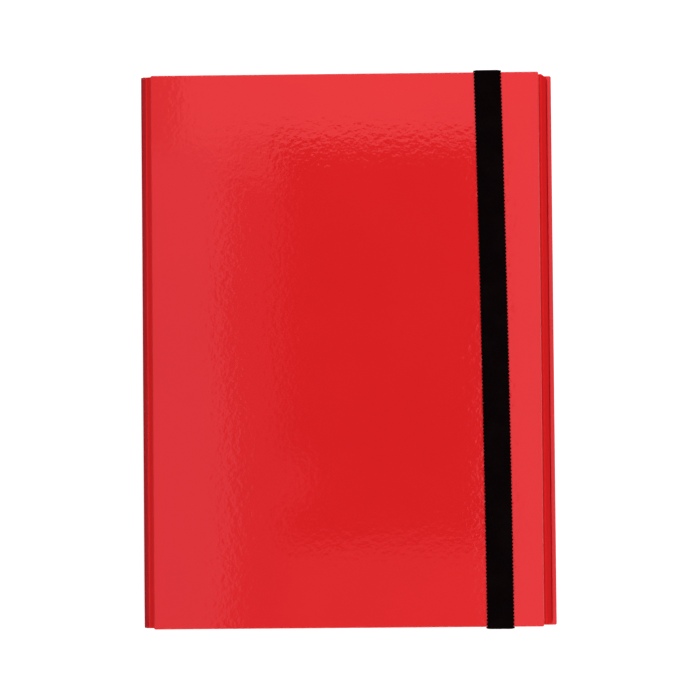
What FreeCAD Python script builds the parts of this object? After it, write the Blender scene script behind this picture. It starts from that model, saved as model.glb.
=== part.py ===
import FreeCAD, Part
import math
import os

# A trading card binder, shut and lying on its back cover.
# X runs from the spine (-X) to the fore-edge (+X), Y from the tail (-Y) to the head (+Y), Z up
# from the back cover to the front cover. The origin is the middle of the footprint, on the
# surface that the back cover lies on. All sizes are in millimetres.

V = FreeCAD.Vector
CUT_OVER = 1.0              # how far a cutting shape runs past what it cuts
X_AXIS = V(1, 0, 0)
Y_AXIS = V(0, 1, 0)
Z_AXIS = V(0, 0, 1)

# ---------------------------------------------------------------- case
case_width = 238.0          # spine face to the back cover's fore-edge
case_height = 320.0         # head to tail
case_thickness = 26.0       # back face to front face
board_t = 2.0               # greyboard core of the covers and spine
wrap_t = 0.35               # laminated paper wrap, also the hinge creases
lining_t = 0.25             # inner lining paper
lining_margin = 5.0         # lining set in from the cover's edge
spine_lining_inset = 1.0    # spine lining, in from the spine's long edges
corner_r = 1.6              # rounded cover corners

front_left_inset = 5.5      # front panel's left edge, in from the spine face
front_right_inset = 8.1     # front panel's right edge, in from the back cover's fore-edge
back_left_inset = 3.2       # back panel's left edge, in from the spine face
spine_top_gap = 0.6         # spine's top edge, below the front face
spine_bottom_gap = 2.9      # spine's bottom edge, above the back face
crease_depth = 1.2          # front hinge groove, below the front face
crease_inset = 3.4          # front hinge line, in from the spine face
hinge_gap = 0.25            # each half of a crease, back from its hinge line

# ---------------------------------------------------------------- fore-edge guard
guard_board_t = 1.2
guard_base_inset = 2.5      # guard's foot, in from the back cover's fore-edge
guard_lean = 3.8            # how far the top leans in over the leaves
guard_foot_gap = 0.3        # guard's foot above the lining
guard_top_gap = 0.5         # guard's top below the front cover
guard_end_inset = 1.0       # guard's ends, in from head and tail

# ---------------------------------------------------------------- ring mechanism
ring_bore = 12.7            # inside diameter of a closed ring
ring_wire = 2.4             # wire diameter
ring_pitch = 80.0           # from ring to ring
ring_count = 4
ring_tip_gap = 0.2          # between the two prong tips of a closed ring
ring_line_height = 2.0      # pivot line of the prongs, above the spine lining
rail_t = 0.9
rail_w = 5.5
rail_gap = 0.3              # between the two rails
rail_length = 262.0
plate_t = 0.7
plate_w = 15.0
plate_crown_w = 10.0
plate_side_height = 2.6     # straight part of the plate's flanges
plate_height = 4.2
plate_length = 290.0
slot_clearance = 0.5        # ring slot beside the wire
plate_rivet_r = 1.6
plate_rivet_head_r = 3.2
plate_rivet_head_t = 0.6
plate_rivet_y = 137.0

# ---------------------------------------------------------------- levers
lever_pin_r = 0.6
lever_pin_fit = 0.05        # radial running clearance on the pin
lever_pin_end_inset = 0.3   # pin's ends, in from the plate's sides
lever_hub_r = 1.35
lever_w = 6.6
lever_t = 1.0
lever_reach = 15.0
lever_angle = 62.0          # rise from the head direction, with the rings shut
lever_pivot_inset = 0.5     # pin, in from the plate's end
lever_pivot_height = 2.7    # pin above the spine lining
lever_notch_depth = 4.0
lever_notch_clearance = 0.7

# ---------------------------------------------------------------- leaves
leaf_count = 8
leaf_t = 0.7
leaf_pitch = 1.1            # from leaf to leaf
leaf_height = 290.0
leaf_tilt = 1.3             # degrees, down towards the fore-edge
leaf_end_gap = 2.4          # leaf's fore-edge to the guard's leaning face
punch_d = 6.6               # punched ring holes
punch_margin = 5.4          # hole centre to binding edge
binding_w = 13.5            # punched edge strip
pocket_columns = 3
pocket_rows = 3
weld_w = 1.2                # weld line between pockets
pocket_recess = 0.2         # pocket faces below the weld lines, each side
thumb_r = 9.0               # thumb cut at each pocket's mouth

# ---------------------------------------------------------------- elastic closure
elastic_w = 15.0
elastic_t = 1.2
elastic_gap = 0.1           # between the band and the case
elastic_inset = 35.35       # band's middle, in from the back cover's fore-edge
elastic_skew = 0.8          # degrees, the band's foot leans to the fore-edge
elastic_tail = 13.0         # end of the band inside the back cover
elastic_rivet_r = 1.5
elastic_rivet_head_r = 3.0
elastic_rivet_head_t = 0.7
elastic_rivet_inset = 7.0   # rivet, in from head or tail

# ---------------------------------------------------------------- worked-out places
half_w = case_width / 2
half_h = case_height / 2
cover_t = wrap_t + board_t + lining_t
spine_x0 = -half_w
spine_x1 = spine_x0 + cover_t
spine_z0 = spine_bottom_gap
spine_z1 = case_thickness - spine_top_gap
inside_z0 = cover_t
inside_z1 = case_thickness - cover_t
mid_z = case_thickness / 2
back_x0 = spine_x0 + back_left_inset
back_x1 = half_w
front_x0 = spine_x0 + front_left_inset
front_x1 = half_w - front_right_inset
crease_x = spine_x0 + crease_inset
crease_z = case_thickness - crease_depth

ring_r = (ring_bore + ring_wire) / 2
ring_pivot_x = spine_x1 + ring_line_height
ring_x = ring_pivot_x + ring_r
ring_span = ring_pitch * (ring_count - 1)
ring_ys = [-ring_span / 2 + ring_pitch * i for i in range(ring_count)]

guard_t = guard_board_t + 2 * wrap_t
guard_foot_x = half_w - guard_base_inset
guard_foot_z = inside_z0 + guard_foot_gap
guard_top_z = inside_z1 - guard_top_gap
guard_angle = math.degrees(math.atan2(guard_lean, guard_top_z - guard_foot_z))
guard_length = (guard_top_z - guard_foot_z) / math.cos(math.radians(guard_angle))

plate_crown_x = spine_x1 + plate_height
lever_pin_x = spine_x1 + lever_pivot_height
lever_pin_y = plate_length / 2 - lever_pivot_inset

leaf_right_x = guard_foot_x - guard_lean - guard_t - leaf_end_gap
elastic_x = half_w - elastic_inset


def box(x0, x1, y0, y1, z0, z1):
    """A box from its lowest to its highest corner."""
    return Part.makeBox(x1 - x0, y1 - y0, z1 - z0, V(x0, y0, z0))


def span(x0, x1, half_y, z0, z1):
    """A box centred on Y = 0."""
    return box(x0, x1, -half_y, half_y, z0, z1)


def cylinder(radius, start, direction, length):
    return Part.makeCylinder(radius, length, start, direction)


def union(shapes):
    """One shape from touching solids, without the seams between them."""
    joined = shapes[0]
    if len(shapes) > 1:
        joined = joined.multiFuse(shapes[1:])
    return joined.removeSplitter()


def prism_xz(points, y0, y1):
    """A closed outline in the XZ plane, pulled along Y."""
    corners = [V(x, y0, z) for x, z in points]
    face = Part.Face(Part.makePolygon(corners + corners[:1]))
    return face.extrude(V(0, y1 - y0, 0))


def rounded_edges(shape, direction, radius):
    """Rounds the four edges of a box that run along a direction."""
    edges = [e for e in shape.Edges if abs(e.tangentAt(e.FirstParameter).dot(direction)) > 0.99]
    return shape.makeFillet(radius, edges)


def rounded_slab(x0, x1, half_y, z0, z1, radius):
    """A flat panel with rounded corners in plan."""
    return rounded_edges(span(x0, x1, half_y, z0, z1), Z_AXIS, radius)


def save(name, shape):
    """Writes one sub-part: a solid, or a group of separate solids."""
    solids = shape.Solids
    kept = solids[0] if len(solids) == 1 else Part.makeCompound(solids)
    kept.exportStep("parts/%s.step" % name)
    print("%-28s %d solid(s) %10.2f mm3" % (name, len(solids), sum(s.Volume for s in solids)))


# ---------------------------------------------------------------- case panels
def panel(x0, x1, outer_z, inner_z):
    """Wrap, board and lining of a cover that lies flat; outer_z is its outer face."""
    up = 1 if inner_z > outer_z else -1
    board_z = outer_z + up * wrap_t
    lining_z = inner_z - up * lining_t
    low_z, high_z = sorted((board_z, lining_z))
    wrap_low, wrap_high = sorted((outer_z, lining_z))
    board = rounded_slab(x0 + wrap_t, x1 - wrap_t, half_h - wrap_t, low_z, high_z, corner_r - wrap_t)
    wrap = rounded_slab(x0, x1, half_h, wrap_low, wrap_high, corner_r).cut(board)
    lining_low, lining_high = sorted((lining_z, inner_z))
    lining = span(x0 + lining_margin, x1 - lining_margin, half_h - lining_margin, lining_low, lining_high)
    return board, wrap, lining


def elastic_rivet_places():
    """Plan positions of the two band rivets, on the band's skewed middle line."""
    lean = math.tan(math.radians(elastic_skew))
    y = half_h - elastic_rivet_inset
    return [(elastic_x - lean * y, y), (elastic_x + lean * y, -y)]


def elastic_rivets():
    """Flush heads in the board's outer face and flat heads on the band's tails."""
    low_z = wrap_t
    band_z = inside_z0 + elastic_gap + elastic_t
    solids = []
    for x, y in elastic_rivet_places():
        head = cylinder(elastic_rivet_head_r, V(x, y, low_z), Z_AXIS, elastic_rivet_head_t)
        shank = cylinder(elastic_rivet_r, V(x, y, low_z), Z_AXIS, band_z - low_z)
        cap = cylinder(elastic_rivet_head_r, V(x, y, band_z), Z_AXIS, elastic_rivet_head_t)
        solids.append(union([head, shank, cap]))
    return Part.makeCompound(solids)


def back_cover():
    board, wrap, lining = panel(back_x0, back_x1, 0, inside_z0)
    rivets = elastic_rivets()
    save("back_board", board.cut(rivets))
    save("back_cover_wrap", wrap)
    save("back_lining", lining.cut(rivets))
    save("elastic_rivets", rivets)


def front_cover():
    board, wrap, lining = panel(front_x0, front_x1, case_thickness, inside_z1)
    save("front_board", board)
    save("front_cover_wrap", wrap)
    save("front_lining", lining)


def plate_rivet_solids():
    """Heads sunk in the spine board, under its wrap; closed over on the plate's crown."""
    solids = []
    start_x = spine_x0 + wrap_t
    for y in (-plate_rivet_y, plate_rivet_y):
        head = cylinder(plate_rivet_head_r, V(start_x, y, mid_z), X_AXIS, plate_rivet_head_t)
        shank = cylinder(plate_rivet_r, V(start_x, y, mid_z), X_AXIS, plate_crown_x - start_x)
        cap = cylinder(plate_rivet_head_r, V(plate_crown_x, y, mid_z), X_AXIS, plate_rivet_head_t)
        solids.append(union([head, shank, cap]))
    return Part.makeCompound(solids)


def spine():
    board_x1 = spine_x1 - lining_t
    board = span(spine_x0 + wrap_t, board_x1, half_h - wrap_t, spine_z0 + wrap_t, spine_z1 - wrap_t)
    outer = span(spine_x0, board_x1, half_h, spine_z0, spine_z1)
    lining_z0 = spine_z0 + spine_lining_inset
    lining_z1 = spine_z1 - spine_lining_inset
    lining = span(board_x1, spine_x1, half_h - lining_margin, lining_z0, lining_z1)
    rivets = plate_rivet_solids()
    save("spine_board", board.cut(rivets))
    save("spine_wrap", outer.cut(board))
    save("spine_lining", lining.cut(rivets))
    save("plate_rivets", rivets)


def hinge_creases():
    """Strips of wrap paper between the panels, each ending at its hinge line."""
    save("back_cover_crease", span(spine_x0 + hinge_gap, back_x0, half_h, 0, wrap_t))
    foot_z = wrap_t + hinge_gap
    save("spine_foot_crease", span(spine_x0, spine_x0 + wrap_t, half_h, foot_z, spine_z0))
    straight = half_h - corner_r
    groove_z = crease_z - wrap_t
    wrap_x1 = spine_x1 - lining_t
    save("spine_top_crease", span(wrap_x1, crease_x - hinge_gap, half_h, groove_z, crease_z))
    save("front_cover_crease", span(crease_x + hinge_gap, front_x0, straight, groove_z, crease_z))


# ---------------------------------------------------------------- fore-edge guard
def guard():
    """A thin wall on the back cover; built upright, then leaned in about its outer foot."""
    half_y = half_h - guard_end_inset
    x1 = guard_foot_x
    x0 = x1 - guard_t
    z0 = guard_foot_z
    z1 = z0 + guard_length
    wrap_outer = rounded_edges(span(x0, x1, half_y, z0, z1), X_AXIS, corner_r)
    board = span(x0 + wrap_t, x1 - wrap_t, half_y - wrap_t, z0 + wrap_t, z1 - wrap_t)
    board = rounded_edges(board, X_AXIS, corner_r - wrap_t)
    foot = V(x1, 0, z0)
    for shape in (wrap_outer, board):
        shape.rotate(foot, Y_AXIS, -guard_angle)
    save("guard_board", board)
    save("guard_wrap", wrap_outer.cut(board))


# ---------------------------------------------------------------- ring mechanism
def ring_plate():
    """Arched plate with flanges on the spine, ring slots, rivet holes and lever notches."""
    half_y = plate_length / 2
    half_crown = plate_crown_w / 2
    half_plate = plate_w / 2
    inner_x = plate_crown_x - plate_t
    side_x = spine_x1 + plate_side_height
    outer = [
        (spine_x1, mid_z - half_plate),
        (side_x, mid_z - half_plate),
        (plate_crown_x, mid_z - half_crown),
        (plate_crown_x, mid_z + half_crown),
        (side_x, mid_z + half_plate),
        (spine_x1, mid_z + half_plate),
    ]
    inner = [
        (spine_x1, mid_z - half_plate + plate_t),
        (side_x - plate_t / 4, mid_z - half_plate + plate_t),
        (inner_x, mid_z - half_crown + plate_t / 2),
        (inner_x, mid_z + half_crown - plate_t / 2),
        (side_x - plate_t / 4, mid_z + half_plate - plate_t),
        (spine_x1, mid_z + half_plate - plate_t),
    ]
    hollow = prism_xz(inner, -half_y - CUT_OVER, half_y + CUT_OVER)
    plate = prism_xz(outer, -half_y, half_y).cut(hollow)
    slot_half = ring_wire / 2 + slot_clearance
    slot_in = rail_gap / 2 + slot_clearance
    slot_x0 = ring_pivot_x - rail_t / 2
    past_crown = plate_crown_x + CUT_OVER
    cuts = []
    for y in ring_ys:
        for side in (-1, 1):
            z0, z1 = sorted((mid_z + side * slot_in, mid_z + side * (half_plate + CUT_OVER)))
            cuts.append(box(slot_x0, past_crown, y - slot_half, y + slot_half, z0, z1))
    notch_x0 = lever_pin_x - lever_hub_r
    notch_half = lever_w / 2 + lever_notch_clearance
    for side in (-1, 1):
        y0, y1 = sorted((side * (half_y - lever_notch_depth), side * (half_y + CUT_OVER)))
        cuts.append(box(notch_x0, past_crown, y0, y1, mid_z - notch_half, mid_z + notch_half))
    cuts.append(plate_rivet_solids())
    cuts.append(lever_pins())
    save("ring_plate", plate.cut(Part.makeCompound(cuts)))


def prong(y, side):
    """Half of a round ring, set half-way into its rail; side is +1 in front and -1 behind."""
    centre = V(ring_x, y, mid_z)
    start = math.asin(ring_tip_gap / 2 / ring_r)
    angles = (start, (start + math.pi) / 2, math.pi)
    points = [centre + V(ring_r * math.cos(a), 0, side * ring_r * math.sin(a)) for a in angles]
    path = Part.Wire(Part.Arc(*points).toShape())
    tangent = V(-math.sin(start), 0, side * math.cos(start))
    section = Part.Wire(Part.makeCircle(ring_wire / 2, points[0], tangent))
    swept = path.makePipeShell([section], True, True)
    behind_pivot = box(spine_x1, ring_pivot_x, y - ring_wire, y + ring_wire, 0, case_thickness)
    return swept.cut(behind_pivot)


def ring_half(side, rail_name, prong_name):
    """A carrier rail with its four prongs set into it."""
    z0, z1 = sorted((mid_z + side * rail_gap / 2, mid_z + side * (rail_gap / 2 + rail_w)))
    rail = span(ring_pivot_x - rail_t / 2, ring_pivot_x + rail_t / 2, rail_length / 2, z0, z1)
    prongs = Part.makeCompound([prong(y, side) for y in ring_ys])
    save(rail_name, rail.cut(prongs))
    save(prong_name, prongs)


def lever_pins():
    """Pins across the plate's ends, held in its flanges."""
    half_pin = plate_w / 2 - lever_pin_end_inset
    pins = [
        cylinder(lever_pin_r, V(lever_pin_x, side * lever_pin_y, mid_z - half_pin), Z_AXIS, 2 * half_pin)
        for side in (-1, 1)
    ]
    return Part.makeCompound(pins)


def lever(side):
    """A hub on the pin with a flat tab that rises out of the plate's end."""
    z0 = mid_z - lever_w / 2
    z1 = mid_z + lever_w / 2
    hub = cylinder(lever_hub_r, V(lever_pin_x, lever_pin_y, z0), Z_AXIS, lever_w)
    half_t = lever_t / 2
    tip_y = lever_pin_y + lever_reach
    tab = box(lever_pin_x - half_t, lever_pin_x + half_t, lever_pin_y, tip_y, z0, z1)
    tab = rounded_edges(tab, X_AXIS, lever_t)
    tab.rotate(V(lever_pin_x, lever_pin_y, mid_z), Z_AXIS, -lever_angle)
    body = union([hub, tab])
    bore_start = V(lever_pin_x, lever_pin_y, z0 - CUT_OVER)
    bore = cylinder(lever_pin_r + lever_pin_fit, bore_start, Z_AXIS, lever_w + 2 * CUT_OVER)
    body = body.cut(bore)
    return body if side > 0 else body.mirror(V(0, 0, 0), Y_AXIS)


def mechanism():
    ring_plate()
    ring_half(1, "front_ring_rail", "front_ring_prongs")
    ring_half(-1, "rear_ring_rail", "rear_ring_prongs")
    save("lever_pins", lever_pins())
    save("head_lever", lever(1))
    save("tail_lever", lever(-1))


# ---------------------------------------------------------------- leaves
def leaf_offset(index):
    """Height of a leaf's middle plane above the ring centre, before the stack's tilt."""
    return (index - (leaf_count - 1) / 2) * leaf_pitch


def leaf_hole_x(index):
    """A leaf's holes lie where the round ring crosses its plane."""
    return ring_x + math.sqrt(ring_r ** 2 - leaf_offset(index) ** 2)


def binding_edge(index):
    z = mid_z + leaf_offset(index)
    x0 = leaf_hole_x(index) - punch_margin
    strip = span(x0, x0 + binding_w, leaf_height / 2, z - leaf_t / 2, z + leaf_t / 2)
    punches = [
        cylinder(punch_d / 2, V(leaf_hole_x(index), y, z - leaf_t), Z_AXIS, 2 * leaf_t) for y in ring_ys
    ]
    return strip.cut(Part.makeCompound(punches))


def pocket_sheet(index):
    """Nine side by side pockets: recessed faces between weld lines, a thumb cut at each mouth."""
    z = mid_z + leaf_offset(index)
    x0 = leaf_hole_x(index) - punch_margin + binding_w
    x1 = leaf_right_x
    half_y = leaf_height / 2
    sheet = span(x0, x1, half_y, z - leaf_t / 2, z + leaf_t / 2)
    cell_w = (x1 - x0 - weld_w) / pocket_columns
    cell_h = (leaf_height - weld_w) / pocket_rows
    recesses = []
    for column in range(pocket_columns):
        for row in range(pocket_rows):
            px0 = x0 + weld_w + column * cell_w
            px1 = px0 + cell_w - weld_w
            py0 = -half_y + weld_w + row * cell_h
            py1 = py0 + cell_h - weld_w
            for side in (-1, 1):
                z0, z1 = sorted((z + side * (leaf_t / 2 - pocket_recess), z + side * leaf_t))
                recesses.append(box(px0, px1, py0, py1, z0, z1))
            mouth = V((px0 + px1) / 2, py1 + weld_w, z)
            recesses.append(cylinder(thumb_r, mouth, Z_AXIS, leaf_t))
    return sheet.cut(Part.makeCompound(recesses))


def leaves():
    centre = V(ring_x, 0, mid_z)
    for index in range(leaf_count):
        for kind, shape in (("binding", binding_edge(index)), ("pockets", pocket_sheet(index))):
            shape.rotate(centre, Y_AXIS, leaf_tilt)
            save("leaf_%d_%s" % (index + 1, kind), shape)


# ---------------------------------------------------------------- elastic closure
def elastic_band():
    """Flat band over the front, head and tail, with both ends turned in over the back lining."""
    z_in = inside_z0 + elastic_gap
    z_top = case_thickness + elastic_gap
    y_leg = half_h + elastic_gap
    run_half = y_leg / math.cos(math.radians(elastic_skew))
    x0 = elastic_x - elastic_w / 2
    x1 = elastic_x + elastic_w / 2
    pieces = [span(x0, x1, run_half + elastic_t, z_top, z_top + elastic_t)]
    for side in (-1, 1):
        y0, y1 = sorted((side * run_half, side * (run_half + elastic_t)))
        pieces.append(box(x0, x1, y0, y1, z_in, z_top + elastic_t))
        y0, y1 = sorted((side * (run_half - elastic_tail), side * run_half))
        pieces.append(box(x0, x1, y0, y1, z_in, z_in + elastic_t))
    band = union(pieces)
    band.rotate(V(elastic_x, 0, 0), Z_AXIS, elastic_skew)
    save("elastic_band", band.cut(elastic_rivets()))


def main():
    os.makedirs("parts", exist_ok=True)
    back_cover()
    spine()
    front_cover()
    hinge_creases()
    guard()
    mechanism()
    leaves()
    elastic_band()


main()
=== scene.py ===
import math

import bmesh
import bpy
from mathutils import Matrix, Vector, noise


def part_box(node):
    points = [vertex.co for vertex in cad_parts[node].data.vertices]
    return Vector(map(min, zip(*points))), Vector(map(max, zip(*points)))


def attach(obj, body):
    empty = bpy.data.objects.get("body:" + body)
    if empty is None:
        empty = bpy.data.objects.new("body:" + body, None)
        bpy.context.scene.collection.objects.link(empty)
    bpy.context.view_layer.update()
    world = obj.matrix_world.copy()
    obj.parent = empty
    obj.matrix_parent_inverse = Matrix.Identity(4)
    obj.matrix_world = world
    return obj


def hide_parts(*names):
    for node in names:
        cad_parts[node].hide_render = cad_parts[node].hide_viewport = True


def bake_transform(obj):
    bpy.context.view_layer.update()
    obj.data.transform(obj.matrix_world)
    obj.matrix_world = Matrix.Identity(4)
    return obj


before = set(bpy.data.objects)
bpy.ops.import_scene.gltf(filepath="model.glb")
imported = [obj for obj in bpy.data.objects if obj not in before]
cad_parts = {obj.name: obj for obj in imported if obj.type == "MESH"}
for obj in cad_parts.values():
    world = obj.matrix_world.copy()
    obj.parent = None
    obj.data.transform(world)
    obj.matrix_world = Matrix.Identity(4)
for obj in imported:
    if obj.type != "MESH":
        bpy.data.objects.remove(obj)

# A trading card binder in glossy red laminated board, shut with a black ribbed elastic.
# It lies on its back cover: X from spine to fore-edge, Y from tail to head, Z up.

MM = 0.001
SCENE = bpy.context.scene
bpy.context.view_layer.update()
COVER_TOP = 26 * MM

# wrapped boards
CORNER_R = 1.0 * MM          # board corners, small enough to hold the square boards
CORNER_STEPS = 6
RIM_R = 0.45 * MM            # rolled rims
RIM_STEPS = 4
RIM_FLAT = 0.25 * MM         # the face is flat again this far past its rolled rim
WRAP_T = 0.22 * MM           # laminated paper
TURN_IN = 5.0 * MM           # paper folded over onto the inner face
PANEL_GRID = 6 * MM          # spacing of the grid that carries the boards' slight waves
WAVE_PITCH = 75 * MM
WAVE_HEIGHT = 0.05 * MM
LINING_STEP = 0.02 * MM      # how far a wrap's turned-in paper stops under the lining's face
SPINE_SHORT = 1.0 * MM       # how much sooner than the covers the spine stops, head and tail

# creased paper hinges
CREASE_T = 0.3 * MM
HINGE_HALF_LENGTH = 159.2 * MM
HINGE_STEPS = 32             # mesh steps along a hinge
GUARD_CREASE_T = 0.16 * MM
GUARD_CREASE_HALF_LENGTH = 157.4 * MM

# fore-edge guard
GUARD_FOOT_Z = 2.9 * MM
GUARD_T = 1.9 * MM
GUARD_LEAN = math.radians(10.76)

# elastic
BAND_T = 1.0 * MM
BAND_W = 16.2 * MM
RIB_PITCH = 2.1 * MM
RIB_HEIGHT = 0.14 * MM
RIB_STEPS = 4                # mesh steps from rib to rib
SCALLOP = 0.75 * MM          # how far the edge goes in between two ribs
BAND_COLUMNS = 10            # mesh steps across the band
BAND_BEND_R = 1.3 * MM
BAND_BEND_STEPS = 8
BAND_BOW = 0.6 * MM          # the middle of the band bows towards the fore-edge
BAND_TAIL = 12 * MM          # what lies on the inside of the back cover, at each end
BAND_SKEW = math.radians(0.8)
BAND_MARGIN = 0.1 * MM       # room between the band and its solid's box
BAND_EDGE_T = 0.25           # share of the thickness that is left at the very edge
THREAD_HEIGHT = 0.02 * MM    # threads that stand up on a rib
THREAD_TURN = 23             # their sine's angle from the band's middle to its edge

# leaves
LEAF_COUNT = 8
LEAF_TILT = math.radians(1.3)
LEAF_PIVOT = Vector((-106.85 * MM, 0, 13 * MM))    # the rings' middle, about which a leaf tilts
LEAF_T = 0.7 * MM
POCKET_COLUMNS = 3
POCKET_ROWS = 3
WELD_W = 1.2 * MM
POCKET_PUFF = 0.16 * MM      # how far a pocket's film stands over its welds
PUFF_RISE = 1.5 * MM         # the film rises over about this width beside a weld
RIPPLE_PITCH = 22 * MM
LEAF_GRID = 3.0 * MM
WELD_CUTS = (0, WELD_W, 2.2 * WELD_W, -1.2 * WELD_W)    # mesh cuts beside each weld's start
THUMB_R = 9 * MM
THUMB_DEPTH = 0.12 * MM


# ---------------------------------------------------------------- mesh helpers
def piece(name, bm, material, body, sharp=40):
    """Turns a finished bmesh into a smooth-shaded piece that rides on a body."""
    mesh = bpy.data.meshes.new(name)
    bm.to_mesh(mesh)
    bm.free()
    mesh.shade_smooth()
    mesh.set_sharp_from_angle(angle=math.radians(sharp))
    mesh.materials.append(material)
    obj = bpy.data.objects.new(name, mesh)
    SCENE.collection.objects.link(obj)
    if body:
        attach(obj, body)
    return obj


def cut_at(bm, axis, place):
    """Splits the faces where they cross a plane square to one axis."""
    normal = Vector((0, 0, 0))
    normal[axis] = 1
    geometry = bm.verts[:] + bm.edges[:] + bm.faces[:]
    bmesh.ops.bisect_plane(bm, geom=geometry, dist=1e-7, plane_co=normal * place, plane_no=normal)


def cut_grid(bm, axis, start, end, spacing):
    """Evenly spaced cuts across one axis."""
    count = max(1, round((end - start) / spacing))
    for step in range(1, count):
        cut_at(bm, axis, start + (end - start) * step / count)


def bevel_edges(bm, edges, width, segments):
    bmesh.ops.bevel(
        bm, geom=edges, offset=width, offset_type="OFFSET", segments=segments,
        profile=0.5, affect="EDGES", material=-1,
    )


def edge_run(edge, axis):
    return abs((edge.verts[0].co - edge.verts[1].co)[axis])


def plain_box(lo, hi):
    bm = bmesh.new()
    bmesh.ops.create_cube(bm, size=1.0)
    bmesh.ops.scale(bm, vec=hi - lo, verts=bm.verts)
    bmesh.ops.translate(bm, vec=(lo + hi) / 2, verts=bm.verts)
    return bm


def pulled_out(bm, faces, way):
    """Gives a face or a sheet of faces a far side, so that it is closed all round."""
    made = bmesh.ops.extrude_face_region(bm, geom=faces)["geom"]
    far = [part for part in made if isinstance(part, bmesh.types.BMVert)]
    bmesh.ops.translate(bm, vec=way, verts=far)


def wrapped_panel(lo, hi, thin, outward, open_inside=True, seed=0.0):
    """A board's wrap: rounded corners, rolled rims, and a very slightly wavy outer face.

    thin is the axis across the board, and outward is +1 or -1 along it."""
    bm = plain_box(lo, hi)
    bevel_edges(bm, [e for e in bm.edges if edge_run(e, thin) > 1e-6], CORNER_R, CORNER_STEPS)
    bevel_edges(bm, [e for e in bm.edges if edge_run(e, thin) < 1e-6], RIM_R, RIM_STEPS)
    wide = [axis for axis in range(3) if axis != thin]
    for axis in wide:
        cut_grid(bm, axis, lo[axis], hi[axis], PANEL_GRID)
        cut_at(bm, axis, lo[axis] + RIM_R + RIM_FLAT)
        cut_at(bm, axis, hi[axis] - RIM_R - RIM_FLAT)
        if open_inside:
            cut_at(bm, axis, lo[axis] + TURN_IN)
            cut_at(bm, axis, hi[axis] - TURN_IN)
    depth = hi[thin] - lo[thin]
    middle = (lo[thin] + hi[thin]) / 2
    for vert in bm.verts:
        place = vert.co / WAVE_PITCH + Vector((seed, seed, seed))
        place[thin] = seed
        share = max(0.0, (vert.co[thin] - middle) * outward / depth + 0.5)
        vert.co[thin] += share * WAVE_HEIGHT * noise.noise(place)
    if open_inside:
        opening = []
        for face in bm.faces:
            centre = face.calc_center_median()
            inside = all(lo[a] + TURN_IN < centre[a] < hi[a] - TURN_IN for a in wide)
            if inside and (centre[thin] - middle) * outward < 0:
                opening.append(face)
        bmesh.ops.delete(bm, geom=opening, context="FACES")
        bmesh.ops.recalc_face_normals(bm, faces=bm.faces)
        bmesh.ops.solidify(bm, geom=bm.faces[:], thickness=WRAP_T)
    bmesh.ops.recalc_face_normals(bm, faces=bm.faces)
    return bm


def smooth_path(points, rounds=3):
    """Corner cutting: an open path turns into a soft curve with the same ends."""
    for _ in range(rounds):
        cut = [points[0]]
        for a, b in zip(points, points[1:]):
            cut.append((a[0] * 0.75 + b[0] * 0.25, a[1] * 0.75 + b[1] * 0.25))
            cut.append((a[0] * 0.25 + b[0] * 0.75, a[1] * 0.25 + b[1] * 0.75))
        cut.append(points[-1])
        points = cut
    return points


def paper_strip(outline_mm, half_length, thickness):
    """A folded paper strip: the section under an XZ path, drawn out along Y.

    The path goes from the spine side to the fore-edge side, and the paper lies under it."""
    path = [Vector((x * MM, -half_length, z * MM)) for x, z in smooth_path(outline_mm)]
    last = len(path) - 1
    under = []
    for index, point in enumerate(path):
        along = (path[min(last, index + 1)] - path[max(0, index - 1)]).normalized()
        under.append(point + Vector((along.z, 0, -along.x)) * thickness)
    bm = bmesh.new()
    section = bm.faces.new([bm.verts.new(point) for point in path + under[::-1]])
    pulled_out(bm, [section], (0, 2 * half_length, 0))
    cut_grid(bm, 1, -half_length, half_length, 2 * half_length / HINGE_STEPS)
    bmesh.ops.recalc_face_normals(bm, faces=bm.faces)
    return bm


# ---------------------------------------------------------------- shader helpers
def new_material(name):
    material = bpy.data.materials.new(name)
    material.use_nodes = True
    tree = material.node_tree
    return material, tree, tree.nodes["Principled BSDF"]


def add(tree, kind, inputs=None, **settings):
    node = tree.nodes.new(kind)
    for key, value in settings.items():
        setattr(node, key, value)
    for key, value in (inputs or {}).items():
        if isinstance(value, bpy.types.NodeSocket):
            tree.links.new(value, node.inputs[key])
        else:
            node.inputs[key].default_value = value
    return node


def maths(tree, operation, first, second=0.0, third=0.0):
    inputs = {0: first, 1: second, 2: third}
    return add(tree, "ShaderNodeMath", inputs, operation=operation).outputs[0]


def mapped(tree, value, low, high, to_low=0.0, to_high=1.0):
    """value from low to high becomes to_low to to_high, with soft ends and nothing beyond them."""
    inputs = {"Value": value, "From Min": low, "From Max": high, "To Min": to_low, "To Max": to_high}
    return add(tree, "ShaderNodeMapRange", inputs, interpolation_type="SMOOTHSTEP").outputs["Result"]


def noise_field(tree, place, size, detail=2.0, roughness=0.5):
    """Noise with features of the given size in metres."""
    inputs = {"Vector": place, "Scale": 1 / size, "Detail": detail, "Roughness": roughness}
    return add(tree, "ShaderNodeTexNoise", inputs).outputs["Fac"]


def mixed(tree, factor, first, second):
    node = add(tree, "ShaderNodeMix", data_type="RGBA")
    for socket, value in ((node.inputs[0], factor), (node.inputs[6], first), (node.inputs[7], second)):
        if isinstance(value, bpy.types.NodeSocket):
            tree.links.new(value, socket)
        else:
            socket.default_value = value
    return node.outputs[2]


def bump(tree, height, distance, normal=None):
    """A relief whose height of 1 stands the given distance in metres."""
    inputs = {"Height": height, "Distance": distance, "Strength": 1.0}
    if normal is not None:
        inputs["Normal"] = normal
    return add(tree, "ShaderNodeBump", inputs).outputs["Normal"]


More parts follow.
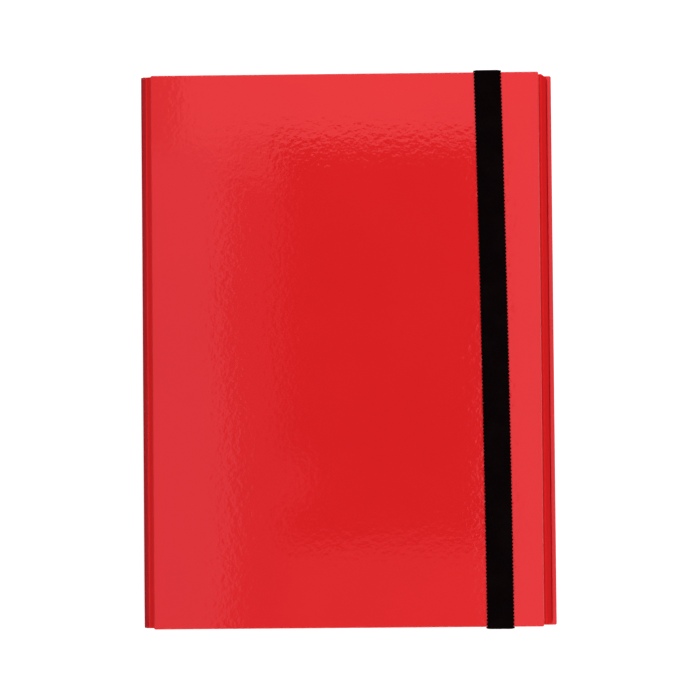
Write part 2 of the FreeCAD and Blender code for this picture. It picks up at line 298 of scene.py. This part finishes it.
def new_group(name, inputs, outputs):
    tree = bpy.data.node_groups.new(name, "ShaderNodeTree")
    for label, value in inputs.items():
        socket = tree.interface.new_socket(label, in_out="INPUT", socket_type="NodeSocketFloat")
        socket.default_value = value
    for label, kind in outputs.items():
        tree.interface.new_socket(label, in_out="OUTPUT", socket_type=kind)
    return tree, tree.nodes.new("NodeGroupInput").outputs, tree.nodes.new("NodeGroupOutput").inputs


def use_group(tree, group, **inputs):
    node = tree.nodes.new("ShaderNodeGroup")
    node.node_tree = group
    for label, value in inputs.items():
        node.inputs[label].default_value = value
    return node.outputs


def object_place(tree):
    return add(tree, "ShaderNodeTexCoord").outputs["Object"]


# ---------------------------------------------------------------- shared node groups
def orange_peel_group():
    """The relief of a laminated film: slow waves, a finer skin, and the paper's grain."""
    tree, given, made = new_group(
        "orange_peel",
        {"wave": 11e-6, "skin": 5e-6, "grain": 0.3e-6},
        {"Normal": "NodeSocketVector"},
    )
    place = object_place(tree)
    slow = bump(tree, noise_field(tree, place, 3.4 * MM, 1.0), given["wave"])
    skin = bump(tree, noise_field(tree, place, 1.5 * MM, 1.0), given["skin"], slow)
    grain = bump(tree, noise_field(tree, place, 0.5 * MM, 1.0), given["grain"], skin)
    tree.links.new(grain, made["Normal"])
    return tree


def specks_group():
    """Sparse specks of dust, and soft smudges left by handling."""
    tree, given, made = new_group(
        "specks_and_smudges",
        {"spacing": 90.0, "reach": 0.016},
        {"Specks": "NodeSocketFloat", "Smudges": "NodeSocketFloat"},
    )
    place = object_place(tree)
    cells = add(tree, "ShaderNodeTexVoronoi", {"Vector": place, "Scale": given["spacing"]})
    rare = maths(tree, "GREATER_THAN", add(
        tree, "ShaderNodeSeparateColor", {"Color": cells.outputs["Color"]}).outputs[0], 0.8)
    near = maths(tree, "LESS_THAN", cells.outputs["Distance"], given["reach"])
    tree.links.new(maths(tree, "MULTIPLY", rare, near), made["Specks"])
    cloud = noise_field(tree, place, 38 * MM, 3.0, 0.6)
    tree.links.new(mapped(tree, cloud, 0.45, 0.75), made["Smudges"])
    return tree


def fibres_group():
    """Short paper fibres lying in all directions: a colour mask and a relief."""
    tree, given, made = new_group(
        "paper_fibres",
        {"relief": 12e-6},
        {"Fibres": "NodeSocketFloat", "Normal": "NodeSocketVector"},
    )
    place = object_place(tree)
    bend = noise_field(tree, place, 2.5 * MM, 2.0)
    swirl = add(tree, "ShaderNodeVectorMath", {0: place}, operation="ADD")
    shift = add(tree, "ShaderNodeCombineXYZ", {
        "X": maths(tree, "MULTIPLY", bend, 3 * MM), "Y": maths(tree, "MULTIPLY", bend, -2 * MM)})
    tree.links.new(shift.outputs[0], swirl.inputs[1])
    long_way = add(tree, "ShaderNodeMapping", {"Vector": swirl.outputs[0], "Scale": (1.0, 0.22, 1.0)})
    cross_way = add(tree, "ShaderNodeMapping", {"Vector": swirl.outputs[0], "Scale": (0.22, 1.0, 1.0)})
    first = noise_field(tree, long_way.outputs[0], 0.35 * MM, 2.0)
    second = noise_field(tree, cross_way.outputs[0], 0.35 * MM, 2.0)
    both = maths(tree, "MAXIMUM", first, second)
    tree.links.new(mapped(tree, both, 0.5, 0.72), made["Fibres"])
    tree.links.new(bump(tree, both, given["relief"]), made["Normal"])
    return tree


def rim_wear_group():
    """1 along the rims of a board, broken up as handling breaks it up; 0 over its faces.

    The inputs are the board's middle and half sizes in plan."""
    tree, given, made = new_group(
        "rim_wear",
        {"middle x": 0.0, "half x": 0.1, "half y": 0.1, "width": 0.7 * MM},
        {"Mask": "NodeSocketFloat"},
    )
    place = object_place(tree)
    axes = add(tree, "ShaderNodeSeparateXYZ", {0: place}).outputs
    from_side = maths(tree, "SUBTRACT", given["half x"], maths(
        tree, "ABSOLUTE", maths(tree, "SUBTRACT", axes[0], given["middle x"])))
    from_end = maths(tree, "SUBTRACT", given["half y"], maths(tree, "ABSOLUTE", axes[1]))
    nearest = maths(tree, "MINIMUM", from_side, from_end)
    share = maths(tree, "DIVIDE", nearest, given["width"])
    rim = mapped(tree, share, 1.0, 0.1)
    patches = mapped(tree, noise_field(tree, place, 9 * MM, 4.0, 0.65), 0.42, 0.66, 0.25, 1.0)
    tree.links.new(maths(tree, "MULTIPLY", rim, patches), made["Mask"])
    return tree


def brushed_group():
    """Fine brushing along Y with small scratches, for the plated steel."""
    tree, given, made = new_group(
        "plated_wear",
        {"relief": 1.5e-6},
        {"Marks": "NodeSocketFloat", "Normal": "NodeSocketVector"},
    )
    place = object_place(tree)
    drawn = add(tree, "ShaderNodeMapping", {"Vector": place, "Scale": (1.0, 0.03, 1.0)})
    lines = noise_field(tree, drawn.outputs[0], 0.25 * MM, 3.0)
    cloud = noise_field(tree, place, 7 * MM, 4.0, 0.6)
    tree.links.new(mapped(tree, maths(tree, "ADD", lines, cloud), 0.85, 1.25), made["Marks"])
    tree.links.new(bump(tree, lines, given["relief"]), made["Normal"])
    return tree


PEEL, SPECKS, FIBRES = orange_peel_group(), specks_group(), fibres_group()
RIM_WEAR, PLATED = rim_wear_group(), brushed_group()

RED = (0.615, 0.0135, 0.0150, 1)
RED_DEEP = (0.575, 0.0110, 0.0130, 1)
# The spine's paper is the covers' red painted darker: painted shade for the spine's side, which faces
# away from the light
SPINE_RED_PAINTED_SHADE = ((0.32, 0.0063, 0.0092, 1), (0.28, 0.0055, 0.0080, 1))
RED_WORN = (0.72, 0.075, 0.085, 1)
DUST = (0.75, 0.35, 0.34, 1)
RIM_PALER = 0.22             # how much of the worn red shows on a rim
RIM_DULLER = 0.12
DUST_SHOWS = 0.5
SMUDGE_DULLER = 0.012
SATIN = {"specular": 0.15, "dullness": 0.14}


def red_paper(name, middle_x=0.0, half_x=1.0, half_y=1.0, tones=(RED, RED_DEEP),
              specular=0.5, dullness=0.018):
    """Red paper under glossy film. The sizes are its board's in plan, for the wear on its rims."""
    material, tree, shader = new_material(name)
    place = object_place(tree)
    marks = use_group(tree, SPECKS)
    rim = use_group(tree, RIM_WEAR, **{
        "middle x": middle_x, "half x": half_x, "half y": half_y})
    tone = noise_field(tree, place, 45 * MM, 3.0)
    colour = mixed(tree, tone, *tones)
    colour = mixed(tree, maths(tree, "MULTIPLY", rim["Mask"], RIM_PALER), colour, RED_WORN)
    colour = mixed(tree, maths(tree, "MULTIPLY", marks["Specks"], DUST_SHOWS), colour, DUST)
    tree.links.new(colour, shader.inputs["Base Color"])
    dull = maths(tree, "MULTIPLY_ADD", marks["Smudges"], SMUDGE_DULLER, dullness)
    dull = maths(tree, "MULTIPLY_ADD", rim["Mask"], RIM_DULLER, dull)
    tree.links.new(dull, shader.inputs["Roughness"])
    tree.links.new(use_group(tree, PEEL)["Normal"], shader.inputs["Normal"])
    shader.inputs["IOR"].default_value = 1.5
    shader.inputs["Specular IOR Level"].default_value = specular
    return material


def lining_material():
    material, tree, shader = new_material("lining_paper")
    fibres = use_group(tree, FIBRES)
    marks = use_group(tree, SPECKS, spacing=45.0, reach=0.02)
    colour = mixed(tree, fibres["Fibres"], (0.80, 0.79, 0.76, 1), (0.72, 0.70, 0.66, 1))
    colour = mixed(tree, maths(tree, "MULTIPLY", marks["Smudges"], 0.25), colour, (0.70, 0.67, 0.60, 1))
    colour = mixed(tree, marks["Specks"], colour, (0.35, 0.30, 0.25, 1))
    tree.links.new(colour, shader.inputs["Base Color"])
    tree.links.new(fibres["Normal"], shader.inputs["Normal"])
    shader.inputs["Roughness"].default_value = 0.75
    return material


def greyboard_material():
    material, tree, shader = new_material("greyboard")
    place = object_place(tree)
    fibres = use_group(tree, FIBRES, relief=30e-6)
    flecks = mapped(tree, noise_field(tree, place, 1.2 * MM, 4.0, 0.7), 0.5, 0.7)
    colour = mixed(tree, fibres["Fibres"], (0.36, 0.33, 0.29, 1), (0.45, 0.42, 0.37, 1))
    colour = mixed(tree, maths(tree, "MULTIPLY", flecks, 0.5), colour, (0.24, 0.22, 0.20, 1))
    tree.links.new(colour, shader.inputs["Base Color"])
    tree.links.new(fibres["Normal"], shader.inputs["Normal"])
    shader.inputs["Roughness"].default_value = 0.9
    return material


def nickel_material():
    material, tree, shader = new_material("nickel_steel")
    plated = use_group(tree, PLATED)
    colour = mixed(tree, plated["Marks"], (0.72, 0.715, 0.69, 1), (0.56, 0.55, 0.52, 1))
    tree.links.new(colour, shader.inputs["Base Color"])
    tree.links.new(maths(tree, "MULTIPLY_ADD", plated["Marks"], 0.16, 0.16), shader.inputs["Roughness"])
    tree.links.new(plated["Normal"], shader.inputs["Normal"])
    shader.inputs["Metallic"].default_value = 1.0
    return material


def film_base(name, dark, light, low_rough, high_rough):
    """Plastic film over a black sheet, with cloudy haze and a slightly rippled skin."""
    material, tree, shader = new_material(name)
    place = object_place(tree)
    marks = use_group(tree, SPECKS, spacing=60.0, reach=0.03)
    haze = mapped(tree, noise_field(tree, place, 60 * MM, 2.0, 0.5), 0.3, 0.8)
    colour = mixed(tree, haze, dark, light)
    colour = mixed(tree, maths(tree, "MULTIPLY", marks["Specks"], 0.6), colour, (0.25, 0.25, 0.25, 1))
    rough = maths(tree, "MULTIPLY_ADD", haze, high_rough - low_rough, low_rough)
    ripple = use_group(tree, PEEL, wave=12e-6, skin=4e-6, grain=0.4e-6)["Normal"]
    return material, tree, shader, place, colour, rough, ripple


def pocket_material():
    """Pocket film, cut back in a thumb-sized arc at the middle of each pocket's mouth, with a painted
    highlight along the cut's edge.
    """
    lo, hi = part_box("leaf_4_pockets")
    cell_w = (hi.x - lo.x - WELD_W) / POCKET_COLUMNS
    cell_h = (hi.y - lo.y - WELD_W) / POCKET_ROWS
    left, bottom = lo.x + WELD_W / 2, lo.y + WELD_W
    material, tree, shader, place, colour, rough, ripple = film_base(
        "pocket_film", (0.014, 0.014, 0.016, 1), (0.030, 0.030, 0.034, 1), 0.10, 0.24)
    axes = add(tree, "ShaderNodeSeparateXYZ", {0: place}).outputs
    from_left = maths(tree, "FLOORED_MODULO", maths(tree, "SUBTRACT", axes[0], left), cell_w)
    from_foot = maths(tree, "FLOORED_MODULO", maths(tree, "SUBTRACT", axes[1], bottom), cell_h)
    aside = maths(tree, "SUBTRACT", from_left, cell_w / 2)
    below = maths(tree, "SUBTRACT", from_foot, cell_h - WELD_W)
    across = maths(tree, "MULTIPLY", aside, aside)
    reach = maths(tree, "SQRT", maths(tree, "MULTIPLY_ADD", below, below, across))
    bare = mapped(tree, reach, THUMB_R, THUMB_R - 0.3 * MM)
    # a thin band just inside the cut: the painted highlight of the film's cut edge
    cut_edge_highlight = maths(tree, "MULTIPLY", bare, mapped(tree, reach, THUMB_R - 0.9 * MM, THUMB_R - 0.4 * MM))
    colour = mixed(tree, bare, colour, (0.008, 0.008, 0.009, 1))
    # painted highlight: the cut edge is painted pale grey
    colour = mixed(tree, maths(tree, "MULTIPLY", cut_edge_highlight, 0.8), colour, (0.16, 0.16, 0.17, 1))
    tree.links.new(colour, shader.inputs["Base Color"])
    tree.links.new(maths(tree, "MULTIPLY_ADD", bare, 0.35, rough), shader.inputs["Roughness"])
    tree.links.new(bump(tree, bare, -0.12 * MM, ripple), shader.inputs["Normal"])
    return material


def binding_material():
    """Thick black film embossed with fine ribs along the leaf's punched edge."""
    material, tree, shader, place, colour, rough, ripple = film_base(
        "binding_film", (0.020, 0.020, 0.022, 1), (0.035, 0.035, 0.038, 1), 0.35, 0.5)
    axes = add(tree, "ShaderNodeSeparateXYZ", {0: place}).outputs
    ribs = maths(tree, "SINE", maths(tree, "MULTIPLY", axes[0], 2 * math.pi / (1.1 * MM)))
    tree.links.new(colour, shader.inputs["Base Color"])
    tree.links.new(rough, shader.inputs["Roughness"])
    tree.links.new(bump(tree, ribs, 0.03 * MM, ripple), shader.inputs["Normal"])
    return material


def weld_material():
    """Film welded to its sheet: paler and pressed into small dimples."""
    material, tree, shader = new_material("welded_film")
    place = object_place(tree)
    cells = add(tree, "ShaderNodeTexVoronoi", {"Vector": place, "Scale": 1 / (0.8 * MM)})
    dimples = cells.outputs["Distance"]
    pressed = mapped(tree, dimples, 0.1, 0.5)
    colour = mixed(tree, pressed, (0.045, 0.045, 0.05, 1), (0.14, 0.14, 0.15, 1))
    tree.links.new(colour, shader.inputs["Base Color"])
    tree.links.new(bump(tree, pressed, 0.08 * MM), shader.inputs["Normal"])
    shader.inputs["Roughness"].default_value = 0.45
    return material


def elastic_material():
    """Black covered elastic: fine lengthwise threads crossed by the woven ribs."""
    material, tree, shader = new_material("elastic_webbing")
    place = object_place(tree)
    threads = add(tree, "ShaderNodeMapping", {"Vector": place, "Scale": (1.0, 0.12, 1.0)})
    fuzz = noise_field(tree, threads.outputs[0], 0.28 * MM, 2.0)
    worn = mapped(tree, noise_field(tree, place, 14 * MM, 3.0), 0.4, 0.7)
    fuzzy = mapped(tree, fuzz, 0.42, 0.72)
    colour = mixed(tree, fuzzy, (0.0014, 0.0004, 0.0006, 1), (0.0035, 0.0012, 0.0016, 1))
    colour = mixed(tree, maths(tree, "MULTIPLY", worn, 0.25), colour, (0.005, 0.0030, 0.0034, 1))
    tree.links.new(colour, shader.inputs["Base Color"])
    tree.links.new(bump(tree, fuzz, 40e-6), shader.inputs["Normal"])
    shader.inputs["Roughness"].default_value = 0.85
    shader.inputs["Specular IOR Level"].default_value = 0.012
    return material


# ---------------------------------------------------------------- boards and creases
def plan_red(name, node):
    """Red paper whose rim wear is fitted to one of the frame's boards."""
    lo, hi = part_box(node)
    return red_paper(name, (lo.x + hi.x) / 2, (hi.x - lo.x) / 2, (hi.y - lo.y) / 2)


FRONT_RED = plan_red("front_red_paper", "front_cover_wrap")
BACK_RED = plan_red("back_red_paper", "back_cover_wrap")
RED_PAPER = red_paper("red_paper")
# painted shade: the spine and its back hinge get a darker copy of the covers' red
SPINE_PAINTED_SHADE_PAPER = red_paper("spine_painted_shade_paper", tones=SPINE_RED_PAINTED_SHADE, **SATIN)
GROOVE_PAPER = red_paper("groove_red_paper", **SATIN)
GREYBOARD = greyboard_material()
GUARD_PAPER = red_paper("guard_red_paper", specular=0.0, dullness=0.30)
ELASTIC_CLOTH = elastic_material()
POCKET_FILM = pocket_material()


def covers():
    """The front and back panels and the spine, as wraps turned in over their boards."""
    lining_lo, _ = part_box("front_lining")
    lo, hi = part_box("front_cover_wrap")
    front = wrapped_panel(Vector((lo.x, lo.y, lining_lo.z + LINING_STEP)), hi, 2, 1, seed=2.3)
    front = piece("front_cover_panel", front, FRONT_RED, "front_cover")
    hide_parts("front_cover_wrap")

    _, lining_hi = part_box("back_lining")
    lo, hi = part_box("back_cover_wrap")
    back = wrapped_panel(lo, Vector((hi.x, hi.y, lining_hi.z - LINING_STEP)), 2, -1, seed=7.1)
    back = piece("back_cover_panel", back, BACK_RED, "back_cover")
    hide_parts("back_cover_wrap")

    _, lining_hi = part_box("spine_lining")
    lo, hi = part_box("spine_wrap")
    low = Vector((lo.x, lo.y + SPINE_SHORT, lo.z))
    high = Vector((lining_hi.x - LINING_STEP, hi.y - SPINE_SHORT, hi.z))
    spine = wrapped_panel(low, high, 0, -1, seed=4.6)
    spine = piece("spine_panel", spine, SPINE_PAINTED_SHADE_PAPER, "spine")
    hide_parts("spine_wrap")

    lo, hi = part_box("spine_board")
    short = Vector((0, SPINE_SHORT, 0))
    core = piece("spine_core", plain_box(lo + short, hi - short), GREYBOARD, "spine")
    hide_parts("spine_board")


def creases():
    """The two paper hinges. Each is one strip that bends between the two boards it joins.

    An outline's points are X and Z in millimetres."""
    outline = [
        (-118.75, 5.2), (-118.82, 4.0), (-118.85, 2.2), (-118.7, 0.9), (-118.1, 0.35),
        (-117.2, 0.42), (-116.2, 0.40), (-115.0, 0.38), (-113.6, 0.38)]
    foot = paper_strip(outline, HINGE_HALF_LENGTH, CREASE_T)
    # painted shade: the back hinge is painted in the spine's darker red
    foot = piece("back_hinge_crease", foot, SPINE_PAINTED_SHADE_PAPER, None)
    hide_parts("back_cover_crease", "spine_foot_crease")
    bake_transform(foot)

    outline = [
        (-117.9, 24.85), (-117.0, 24.85), (-116.5, 24.55), (-116.1, 24.45), (-115.5, 24.62),
        (-114.6, 25.1), (-113.9, 25.55), (-113.1, 25.78), (-112.2, 25.86), (-111.2, 25.86)]
    groove = paper_strip(outline, HINGE_HALF_LENGTH, CREASE_T)
    groove = piece("front_hinge_groove", groove, GROOVE_PAPER, None)
    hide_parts("spine_top_crease", "front_cover_crease")
    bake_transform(groove)


def guard():
    """The fore-edge wall: it leans inwards from its crease, and is modelled upright first."""
    lo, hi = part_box("guard_wrap")
    height = (hi.z - GUARD_FOOT_Z) / math.cos(GUARD_LEAN)
    low = Vector((hi.x - GUARD_T, lo.y, GUARD_FOOT_Z))
    high = Vector((hi.x, hi.y, GUARD_FOOT_Z + height))
    bm = wrapped_panel(low, high, 0, 1, open_inside=False, seed=9.4)
    hinge = Vector((hi.x, 0, GUARD_FOOT_Z))
    lean = Matrix.Rotation(-GUARD_LEAN, 3, "Y")
    bmesh.ops.rotate(bm, cent=hinge, matrix=lean, verts=bm.verts)
    wall = piece("guard_panel", bm, GUARD_PAPER, "fore_edge_guard")
    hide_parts("guard_wrap")
    outline = [
        (114.2, 2.86), (115.4, 2.88), (116.2, 2.90), (116.62, 3.1), (116.62, 3.7),
        (116.45, 4.6), (116.28, 5.6)]
    crease = paper_strip(outline, GUARD_CREASE_HALF_LENGTH, GUARD_CREASE_T)
    crease = piece("guard_crease", crease, GUARD_PAPER, None)
    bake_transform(crease)


# ---------------------------------------------------------------- elastic
def band_path(half_y, low_z, high_z):
    """The band's middle line in YZ, with its four bends rounded."""
    corners = [
        Vector((-half_y + BAND_TAIL, low_z)), Vector((-half_y, low_z)), Vector((-half_y, high_z)),
        Vector((half_y, high_z)), Vector((half_y, low_z)), Vector((half_y - BAND_TAIL, low_z))]
    points = [corners[0]]
    for before, corner, after in zip(corners, corners[1:], corners[2:]):
        entering = (corner - before).normalized()
        leaving = (after - corner).normalized()
        centre = corner - entering * BAND_BEND_R + leaving * BAND_BEND_R
        for step in range(BAND_BEND_STEPS + 1):
            turn = math.pi / 2 * step / BAND_BEND_STEPS
            spoke = -leaving * math.cos(turn) + entering * math.sin(turn)
            points.append(centre + spoke * BAND_BEND_R)
    points.append(corners[-1])
    return points


def resampled(points, spacing):
    """The path at even steps, each with its direction."""
    lengths = [(b - a).length for a, b in zip(points, points[1:])]
    total = sum(lengths)
    count = round(total / spacing)
    out, index, passed = [], 0, 0.0
    for step in range(count + 1):
        target = min(total - 1e-9, total * step / count)
        while passed + lengths[index] < target:
            passed += lengths[index]
            index += 1
        share = (target - passed) / lengths[index]
        direction = (points[index + 1] - points[index]).normalized()
        out.append((points[index].lerp(points[index + 1], share), direction))
    return out


def elastic():
    """The ribbed band: a long sheet with two sides, laid along the band's path rib by rib."""
    lo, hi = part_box("elastic_band")
    middle_x = (lo.x + hi.x) / 2
    inset = BAND_T / 2 + BAND_MARGIN
    half_y = hi.y - inset
    rows = resampled(band_path(half_y, lo.z + inset, hi.z - inset), RIB_PITCH / RIB_STEPS)
    last = len(rows) - 1
    bm = bmesh.new()
    bmesh.ops.create_grid(bm, x_segments=BAND_COLUMNS, y_segments=last, size=1.0)
    pulled_out(bm, bm.faces[:], (0, 0, 1))
    for vert in bm.verts:
        across = vert.co.x
        side = 1 if vert.co.z > 0.5 else -1
        number = round((vert.co.y + 1) / 2 * last)
        point, along = rows[number]
        rise = 0.5 - 0.5 * math.cos(2 * math.pi * number / RIB_STEPS)
        half_w = BAND_W / 2 - SCALLOP * (1 - rise)
        share = max(-1.0, min(1.0, point.x / half_y))
        centre = middle_x - math.tan(BAND_SKEW) * point.x + BAND_BOW * (1 - share * share)
        roundness = math.sqrt(max(0.0, 1 - abs(across) ** 10))
        thick = (BAND_T / 2 - RIB_HEIGHT * (1 - rise)) * (
            BAND_EDGE_T + (1 - BAND_EDGE_T) * roundness)
        height = side * thick + THREAD_HEIGHT * math.sin(across * THREAD_TURN) * rise
        vert.co = (centre + across * half_w, point.x - along.y * height, point.y + along.x * height)
    bmesh.ops.recalc_face_normals(bm, faces=bm.faces)
    band = piece("ribbed_elastic", bm, ELASTIC_CLOTH, None, sharp=80)
    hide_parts("elastic_band")
    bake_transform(band)


# ---------------------------------------------------------------- leaves
def leaf_pocket_sheet(lo_x, hi_x, half_y, middle_z):
    """A flat sheet of pockets: puffed cells between welds, with thumb cuts at their mouths."""
    cell_w = (hi_x - lo_x - WELD_W) / POCKET_COLUMNS
    cell_h = (2 * half_y - WELD_W) / POCKET_ROWS
    half_t = LEAF_T / 2 - POCKET_PUFF
    bm = plain_box(
        Vector((lo_x, -half_y, middle_z - half_t)), Vector((hi_x, half_y, middle_z + half_t)))
    for axis, low, high, count, size in (
            (0, lo_x, hi_x, POCKET_COLUMNS, cell_w), (1, -half_y, half_y, POCKET_ROWS, cell_h)):
        for weld in range(count + 1):
            for offset in WELD_CUTS:
                place = low + weld * size + offset
                if low < place < high:
                    cut_at(bm, axis, place)
        cut_grid(bm, axis, low, high, LEAF_GRID)

    def into(value, low, size):
        """How far a place is inside a pocket; below 0 on a weld."""
        passed = (value - low - WELD_W) % size
        return min(passed, size - WELD_W - passed)

    for vert in bm.verts:
        side = 1 if vert.co.z > middle_z else -1
        near_x = into(vert.co.x, lo_x, cell_w)
        near_y = into(vert.co.y, -half_y, cell_h)
        room = max(0.0, min(near_x, near_y))
        puff = 1 - math.exp(-room / PUFF_RISE)
        ripple = 0.85 + 0.15 * noise.noise(vert.co / RIPPLE_PITCH + Vector((3.1, side, 0)))
        height = POCKET_PUFF * puff * ripple
        mouth_y = -half_y + ((vert.co.y + half_y) // cell_h + 1) * cell_h
        mouth_x = lo_x + WELD_W / 2 + ((vert.co.x - lo_x) // cell_w + 0.5) * cell_w
        reach = math.hypot(vert.co.x - mouth_x, vert.co.y - mouth_y)
        if reach < THUMB_R and room > 0.1 * MM:
            height -= min(THUMB_DEPTH, POCKET_PUFF * puff) * (1 - (reach / THUMB_R) ** 6)
        vert.co.z += side * height
    for face in bm.faces:
        centre = face.calc_center_median()
        welded = min(into(centre.x, lo_x, cell_w), into(centre.y, -half_y, cell_h)) < 0
        face.material_index = 1 if welded else 0
    bmesh.ops.recalc_face_normals(bm, faces=bm.faces)
    return bm


def leaves():
    """The pocket sheets, made level and then tilted as the leaves lie on their rings."""
    weld = weld_material()
    tilt = Matrix.Rotation(LEAF_TILT, 3, "Y")
    untilt = Matrix.Rotation(-LEAF_TILT, 3, "Y")
    for number in range(1, LEAF_COUNT + 1):
        node = "leaf_%d_pockets" % number
        lo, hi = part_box(node)
        left = untilt @ (Vector((lo.x, 0, hi.z - LEAF_T / 2)) - LEAF_PIVOT) + LEAF_PIVOT
        right = untilt @ (Vector((hi.x, 0, lo.z + LEAF_T / 2)) - LEAF_PIVOT) + LEAF_PIVOT
        bm = leaf_pocket_sheet(left.x, right.x, hi.y, (left.z + right.z) / 2)
        bmesh.ops.rotate(bm, cent=LEAF_PIVOT, matrix=tilt, verts=bm.verts)
        sheet = piece("leaf_%d_pocket_sheet" % number, bm, POCKET_FILM, "leaf_%d" % number)
        sheet.data.materials.append(weld)
        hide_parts(node)


# ---------------------------------------------------------------- finishes of the frame's own pieces
def finish_frame_pieces():
    """Gives every piece of the frame its finish, by the ending of its name."""
    finishes = {
        "_lining": lining_material(),
        "_binding": binding_material(),
        "_board": GREYBOARD,
        "_pockets": POCKET_FILM,
        "_wrap": RED_PAPER,
        "_crease": RED_PAPER,
        "_band": ELASTIC_CLOTH,
    }
    nickel = nickel_material()
    for name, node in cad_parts.items():
        chosen = next((made for ending, made in finishes.items() if name.endswith(ending)), nickel)
        for index in range(max(1, len(node.data.materials))):
            if index < len(node.data.materials):
                node.data.materials[index] = chosen
            else:
                node.data.materials.append(chosen)


covers()
creases()
guard()
elastic()
leaves()
finish_frame_pieces()


# ---------------------------------------------------------------- camera
def camera():
    """Looks almost straight down on the front cover, from two metres up."""
    distance, tilt, turn, roll = 2.0, math.radians(2.46), math.radians(28.8), math.radians(-0.506)
    target = Vector((0.71 * MM, 0, COVER_TOP))
    back = Vector((
        math.sin(tilt) * math.sin(turn), -math.sin(tilt) * math.cos(turn), math.cos(tilt)))
    right = Vector((0, 1, 0)).cross(back).normalized()
    up = back.cross(right)
    rolled_right = right * math.cos(roll) + up * math.sin(roll)
    rolled_up = up * math.cos(roll) - right * math.sin(roll)
    data = bpy.data.cameras.new("camera")
    data.sensor_width = 36
    data.lens = 178.4
    data.clip_start, data.clip_end = 0.1, 20
    obj = bpy.data.objects.new("camera", data)
    SCENE.collection.objects.link(obj)
    axes = Matrix((rolled_right, rolled_up, back)).transposed()
    obj.matrix_world = Matrix.Translation(target + back * distance) @ axes.to_4x4()
    SCENE.camera = obj
    return obj


# ---------------------------------------------------------------- light
DOME = 0.50
DOME_BESIDE_SPINE = 0.22     # the dome darkens towards the spine's side
CARD_SOFT = 12 * MM          # soft edge of a card, measured on the cover that mirrors it
# What hangs overhead, each by the part of the front cover that mirrors it (in millimetres), and
# its light. Later ones hide earlier ones.
OVERHEAD = {
    "warm_card": ((-200, 260), (-260, 300), (2.6, 0.74, 0.84, 1)),
    "side_card": ((-200, -71), (-260, 114), (1.6, 0.55, 0.70, 1)),
    "far_corner": ((-200, -98), (112, 300), (1.2, 0.40, 0.46, 1)),
    "low_card": ((-72, 84), (-260, -108), (1.4, 0.25, 0.27, 1)),
    "dark_surround": ((-72, -36), (-260, 102), (0.85, 0.19, 0.25, 1)),
    "surround_corner": ((-66, -36), (100, 122), (1.7, 0.45, 0.52, 1)),
    "lens_shade": ((-40, 84), (-111, 123), (0.05, 0.02, 0.02, 1)),
    "bracket": ((-60, -24), (-86, -61), (0.85, 0.19, 0.25, 1)),
}


def studio(camera_obj):
    """A grey dome, with soft-edged coloured cards overhead for the front cover to mirror."""
    cam = camera_obj.location
    height = cam.z - COVER_TOP
    world = bpy.data.worlds.new("studio")
    SCENE.world = world
    world.use_nodes = True
    tree = world.node_tree
    way = add(tree, "ShaderNodeTexCoord").outputs["Generated"]
    axes = add(tree, "ShaderNodeSeparateXYZ", {0: way}).outputs
    above = maths(tree, "MAXIMUM", axes[2], 0.05)    # never 0, because the slopes divide by it
    slopes = [maths(tree, "DIVIDE", axes[axis], above) for axis in (0, 1)]
    overhead = maths(tree, "GREATER_THAN", axes[2], 0.5)
    level = mapped(tree, axes[0], -0.9, 0.0, DOME_BESIDE_SPINE, DOME)
    soft = CARD_SOFT / 2 / height
    light = add(tree, "ShaderNodeCombineXYZ", {0: level, 1: level, 2: level}).outputs[0]
    for span_x, span_y, card in OVERHEAD.values():
        mask = overhead
        for slope, span, place in zip(slopes, (span_x, span_y), (cam.x, cam.y)):
            low, high = ((end * MM - place) / height for end in span)
            mask = maths(tree, "MULTIPLY", mask, mapped(tree, slope, low - soft, low + soft))
            mask = maths(tree, "MULTIPLY", mask, mapped(tree, slope, high + soft, high - soft))
        light = mixed(tree, mask, light, card)
    background = tree.nodes["Background"]
    tree.links.new(light, background.inputs["Color"])


def soft_light(name, place, size, watts):
    data = bpy.data.lights.new(name, "AREA")
    data.shape = "SQUARE"
    data.size = size
    data.energy = watts
    obj = bpy.data.objects.new(name, data)
    SCENE.collection.objects.link(obj)
    obj.location = place
    obj.rotation_mode = "QUATERNION"
    obj.rotation_quaternion = (-Vector(place)).to_track_quat("-Z", "Y")
    return obj


def floor():
    material, tree, shader = new_material("studio_floor")
    shader.inputs["Base Color"].default_value = (0.35, 0.35, 0.35, 1)
    shader.inputs["Roughness"].default_value = 0.9
    shader.inputs["Specular IOR Level"].default_value = 0.0
    shader.inputs["Emission Color"].default_value = (1, 1, 1, 1)
    shader.inputs["Emission Strength"].default_value = 0.85
    bm = bmesh.new()
    bmesh.ops.create_grid(bm, x_segments=4, y_segments=4, size=4.0)
    bmesh.ops.translate(bm, vec=(0, 0, -0.2 * MM), verts=bm.verts)
    piece("studio_floor_plane", bm, material, None)


floor()
CAMERA = camera()
studio(CAMERA)
soft_light("head_softbox", (0.06, 0.62, 0.56), 0.5, 4.1)
soft_light("tail_softbox", (0.08, -0.62, 0.56), 0.5, 3.4)
soft_light("fore_edge_softbox", (0.55, 0.0, 0.75), 0.4, 0.9)
SCENE.view_settings.view_transform = "Standard"

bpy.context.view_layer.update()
